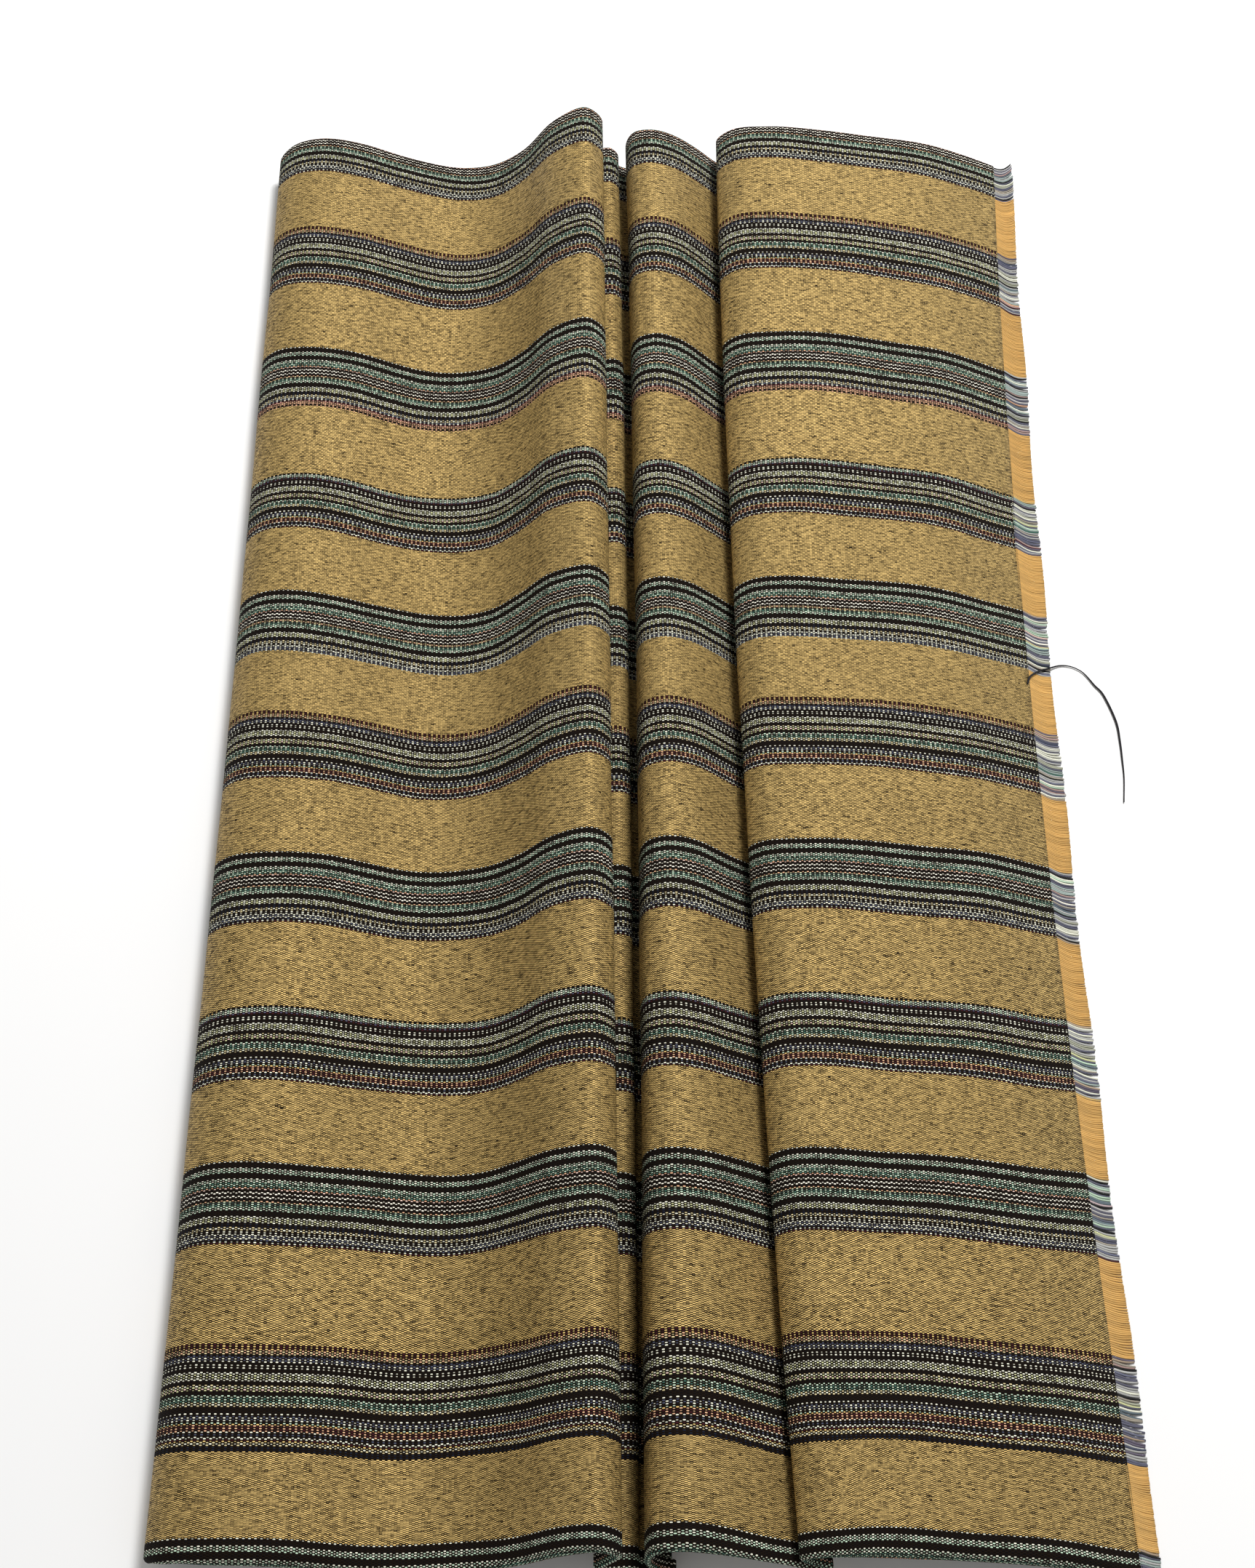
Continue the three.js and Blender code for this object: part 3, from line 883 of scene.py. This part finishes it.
def warp_end(yarn, woven):
    """The middle line of one warp end, from just inside the last weft to its tip."""
    y = float(edge_pull(woven)) - woven
    (root_x, root_z), way = curve_at(y, PLACES[0])
    slope = way[1] / way[0]
    is_gold = band_kind(woven) == "gold"
    tip_x = tip_of(root_x, y, yarn, woven, is_gold)
    lean = lean_of(y, yarn, is_gold)
    lift = LIFT + LIFT_MORE * (1 + chance_of(yarn, 4))
    line = []
    for i in range(END_STEPS + 1):
        s = i / END_STEPS
        x = root_x - ROOT_INSIDE + (tip_x - root_x + ROOT_INSIDE) * s
        straight = root_z + ROOT_RAISED + slope * (x - root_x)
        settle = s * s * (3 - 2 * s)
        z = straight * (1 - settle) + (END_THICK / 2 + lift * (1 - s)) * settle
        line.append((x, y + lean * s ** LEAN_CURVE, max(z, END_THICK / 2)))
    return np.array(line)


first_yarn = int(np.ceil(yarn_numbers(-OPEN_REACH)))
last_yarn = int(yarn_numbers(OPEN_REACH))
ends = []
for yarn in range(first_yarn, last_yarn):
    woven_at = float(np.interp(yarn + 0.5, yarn_edges, band_edges))
    ends.append((yarn, woven_at, warp_end(yarn, woven_at)))
print(len(ends), "warp ends")

# %% [markdown]
# A strand is a short tube with a flat four-sided section. It gets thinner towards the tip, where the yarn
# is cut. All of them are joined in one mesh, because hundreds of objects would be slow to handle.

# %% Spin the strands
END_WIDTH = 1.05
END_TAPER = 0.8
END_SIDES = 4


def strand(line, width, thick, taper):
    """Points and faces of one four-sided strand along a line."""
    points = []
    for i, (x, y, z) in enumerate(line):
        s = i / (len(line) - 1)
        size = 1 - (1 - taper) * s ** 3
        half_width = width / 2 * size
        half_thick = min(thick / 2 * size, z)
        points += [(x, y - half_width, z), (x, y, z - half_thick)]
        points += [(x, y + half_width, z), (x, y, z + half_thick)]
    faces = [(3, 2, 1, 0)]
    for i in range(len(line) - 1):
        for k in range(END_SIDES):
            a = i * END_SIDES + k
            b = i * END_SIDES + (k + 1) % END_SIDES
            faces.append((a, b, b + END_SIDES, a + END_SIDES))
    last = len(points) - END_SIDES
    faces.append((last, last + 1, last + 2, last + 3))
    return points, faces


def joined(name, strands):
    """One mesh from many strands, each with its place in the weave."""
    vertices = []
    faces = []
    chart = []
    for (points, quads), (yarn, woven_at) in strands:
        faces += [tuple(v + len(vertices) for v in quad) for quad in quads]
        x0 = points[0][0]
        band = float(band_numbers(woven_at))
        chart += [(x - x0, band, yarn + 0.5) for x, y, z in points]
        vertices += [((x + GAP_FROM_MIDDLE) * MM, y * MM, z * MM) for x, y, z in points]
    mesh = bpy.data.meshes.new(name)
    mesh.from_pydata(vertices, [], faces)
    mesh.shade_smooth()
    keep_weave(mesh, chart)
    return mesh


strands = []
for yarn, woven_at, line in ends:
    strands.append((strand(line, END_WIDTH, END_THICK, END_TAPER), (yarn, woven_at)))
fringe_mesh = joined("warp_ends", strands)
print("fringe faces", len(fringe_mesh.polygons))

# %% [markdown]
# The free ends have no glint: their gold wrapping has come away and the orange core shows. Most of the
# ends beside the striped bands are worn towards a greyish mauve, and fine streaks along each end stand for
# its fibres. Which of its row's two colours an end has, whether it is worn and how light it is are set by
# chance.

# %% Make the finish of the warp ends
COLOUR_SEED = 5.0
WORN_SEED = 7.0
LIGHT_SEED = 2.0
WORN_SHARE = 0.8
WORN = 0.55
FIBRE_FINENESS = (0.5, 9.0)
END_LIGHT = 0.68
LIGHT_BY_END = 0.3
LIGHT_BY_FIBRE = 0.3
LOOSE_ROUGHNESS = 0.9
FIBRE_RELIEF = 0.6
FIBRE_HEIGHT = 0.15


def yarn_finish():
    material, tree, shader = new_tree("warp_ends")
    along, band, yarn = weave_place(tree)
    second = chance(tree, yarn.floor(), COLOUR_SEED) > 0.5
    colour, gold = stripe_colour(band, second, YARN["orange"])
    worn = (1 - gold) * (chance(tree, yarn.floor(), WORN_SEED) < WORN_SHARE) * WORN
    colour = blended(worn, colour, YARN["mauve"])
    fibre = soft_spots(along, yarn, FIBRE_FINENESS, layer=2.0, detail=3.0)
    light = END_LIGHT + chance(tree, yarn.floor(), LIGHT_SEED) * LIGHT_BY_END + fibre * LIGHT_BY_FIBRE
    tree.links.new(scaled(colour, light).socket, shader.inputs["Base Color"])
    raise_relief(shader, fibre, FIBRE_RELIEF, FIBRE_HEIGHT)
    shader.inputs["Roughness"].default_value = LOOSE_ROUGHNESS
    return material


loose_yarn = yarn_finish()
print("yarn finish", len(loose_yarn.node_tree.nodes), "nodes")

# %% [markdown]
# ## The stray thread
# One long dark warp thread has worked loose. It leaves the fringe, turns and lies along it on the floor.
# It is a thin tube on the route of the thread in the solid, with closer points, and its root is a little
# nearer to the viewer, on top of the fringe. It was spun by hand, so it swells and thins twice.

# %% Route the stray thread
THREAD_ON_FRINGE = [(174.6, 31.8), (176.2, 36.2), (180.8, 41.6), (185.9, 44.3)]
THREAD_ON_FLOOR = [
    (191.1, 46.3), (195.7, 45.9), (199.7, 43.8), (202.3, 41), (205.4, 36), (209, 30.5),
    (212.9, 17.3), (213.6, 7.4), (213.6, -3.3), (213.4, -11.8), (212.1, -23.8),
]
THREAD_WIDTH = 1
THREAD_STEPS = 90


def smooth_line(points, count):
    """A smooth line through a few points."""
    points = np.array(points, dtype=float)
    points = np.vstack([2 * points[0] - points[1], points, 2 * points[-1] - points[-2]])
    line = []
    for k in range(count + 1):
        s = k / count * (len(points) - 3)
        i = min(int(s), len(points) - 4)
        w = s - i
        p0, p1, p2, p3 = points[i:i + 4]
        line.append(p1 + (p2 - p0) * w / 2 + (p0 - 2.5 * p1 + 2 * p2 - 0.5 * p3) * w ** 2
                    + (1.5 * (p1 - p2) + (p3 - p0) / 2) * w ** 3)
    return np.array(line)


def over_fringe(x, y):
    """How high a thread lies that crosses the fringe."""
    line = warp_end(float(yarn_numbers(-y)), -y)
    return float(np.interp(x, line[:, 0], line[:, 2])) + THREAD_WIDTH


thread_points = [(x, y, over_fringe(x, y)) for x, y in THREAD_ON_FRINGE]
thread_points += [(x, y, THREAD_WIDTH / 2) for x, y in THREAD_ON_FLOOR]
thread_line = smooth_line(thread_points, THREAD_STEPS)
print("thread", round(float(np.linalg.norm(np.diff(thread_line, axis=0), axis=1).sum())), "mm long")

# %% [markdown]
# The thread is a tube with six sides, which is round enough at this width. No point of it lies below the
# floor.

# %% Spin the stray thread
THREAD_THINNEST = 0.55
THREAD_SIDES = 6
FIRST_SWELL = 0.1
SWELLS_APART = 0.6


def spun_width(s):
    """The thread's width at a share of its length."""
    swell = 0.5 + 0.5 * math.cos(2 * math.pi * (s - FIRST_SWELL) / SWELLS_APART)
    return THREAD_WIDTH * (THREAD_THINNEST + (1 - THREAD_THINNEST) * swell)


def thread_mesh(name, line):
    """A tube along a line."""
    vertices = []
    faces = []
    ways = np.gradient(line, axis=0)
    for i, ((x, y, z), way) in enumerate(zip(line, ways)):
        width = spun_width(i / (len(line) - 1))
        middle = Vector((x + GAP_FROM_MIDDLE, y, z))
        flat = Vector((-way[1], way[0], 0)).normalized()
        up = Vector(way).normalized().cross(flat)
        for k in range(THREAD_SIDES):
            turn = 2 * math.pi * k / THREAD_SIDES
            point = middle + (flat * math.cos(turn) + up * math.sin(turn)) * width / 2
            point.z = max(point.z, 0)
            vertices.append(point * MM)
    for i in range(len(line) - 1):
        for k in range(THREAD_SIDES):
            a = i * THREAD_SIDES + k
            b = i * THREAD_SIDES + (k + 1) % THREAD_SIDES
            faces.append((a, b, b + THREAD_SIDES, a + THREAD_SIDES))
    last = len(vertices) - THREAD_SIDES
    faces += [tuple(range(THREAD_SIDES))[::-1], tuple(last + k for k in range(THREAD_SIDES))]
    mesh = bpy.data.meshes.new(name)
    mesh.from_pydata(vertices, [], faces)
    mesh.shade_smooth()
    return mesh


stray_mesh = thread_mesh("stray_thread", thread_line)
print("thread faces", len(stray_mesh.polygons))

# %% [markdown]
# The thread is nearly black, with a little of its fibre showing as lighter streaks.

# %% Make the finish of the stray thread
THREAD_DARK = dyed(6, 6, 10)
THREAD_LIGHT = dyed(26, 24, 30)
STREAKS_IN_A_METRE = 900.0
THREAD_RELIEF = 0.5
THREAD_HEIGHT = 0.1


def thread_finish():
    material, tree, shader = new_tree("stray_yarn")
    place = add(tree, "ShaderNodeTexCoord", {}, {}, output=3)
    streak = grain(place, STREAKS_IN_A_METRE, detail=3.0)
    tree.links.new(blended(streak, THREAD_DARK, THREAD_LIGHT).socket, shader.inputs["Base Color"])
    raise_relief(shader, streak, THREAD_RELIEF, THREAD_HEIGHT)
    shader.inputs["Roughness"].default_value = LOOSE_ROUGHNESS
    return material


stray_yarn = thread_finish()
print("thread finish", len(stray_yarn.node_tree.nodes), "nodes")

# %% [markdown]
# ## The floor's finish
# The floor is plain and pale, with a faint unevenness so that it doesn't look like paper.

# %% Finish the floor
FLOOR_DARK = dyed(240, 240, 240)
FLOOR_LIGHT = dyed(247, 247, 247)
SPECKS_IN_A_METRE = 3.0
FLOOR_ROUGHNESS = 0.9

floor_material, floor_tree, floor_shader = new_tree("floor")
spot = add(floor_tree, "ShaderNodeTexCoord", {}, {}, output=3)
floor_colour = blended(grain(spot, SPECKS_IN_A_METRE), FLOOR_DARK, FLOOR_LIGHT)
floor_tree.links.new(floor_colour.socket, floor_shader.inputs["Base Color"])
floor_shader.inputs["Roughness"].default_value = FLOOR_ROUGHNESS
floor_mesh.materials.append(floor_material)
print("floor finished")

# %% [markdown]
# ## Put the pieces in place
# Each piece rides on the one body, and the solid that it stands for is hidden.

# %% Dress the solids
cloth = shown("woven_cloth", cloth_mesh, woven)
fringe = shown("warp_ends", fringe_mesh, loose_yarn)
stray = shown("stray_thread", stray_mesh, stray_yarn)
for piece, node, slot in ((cloth, "cloth", "woven_stripes"), (fringe, "fringe", "warp_ends"),
                          (stray, "fringe", "warp_ends")):
    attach(piece, "root")
    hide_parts(node)
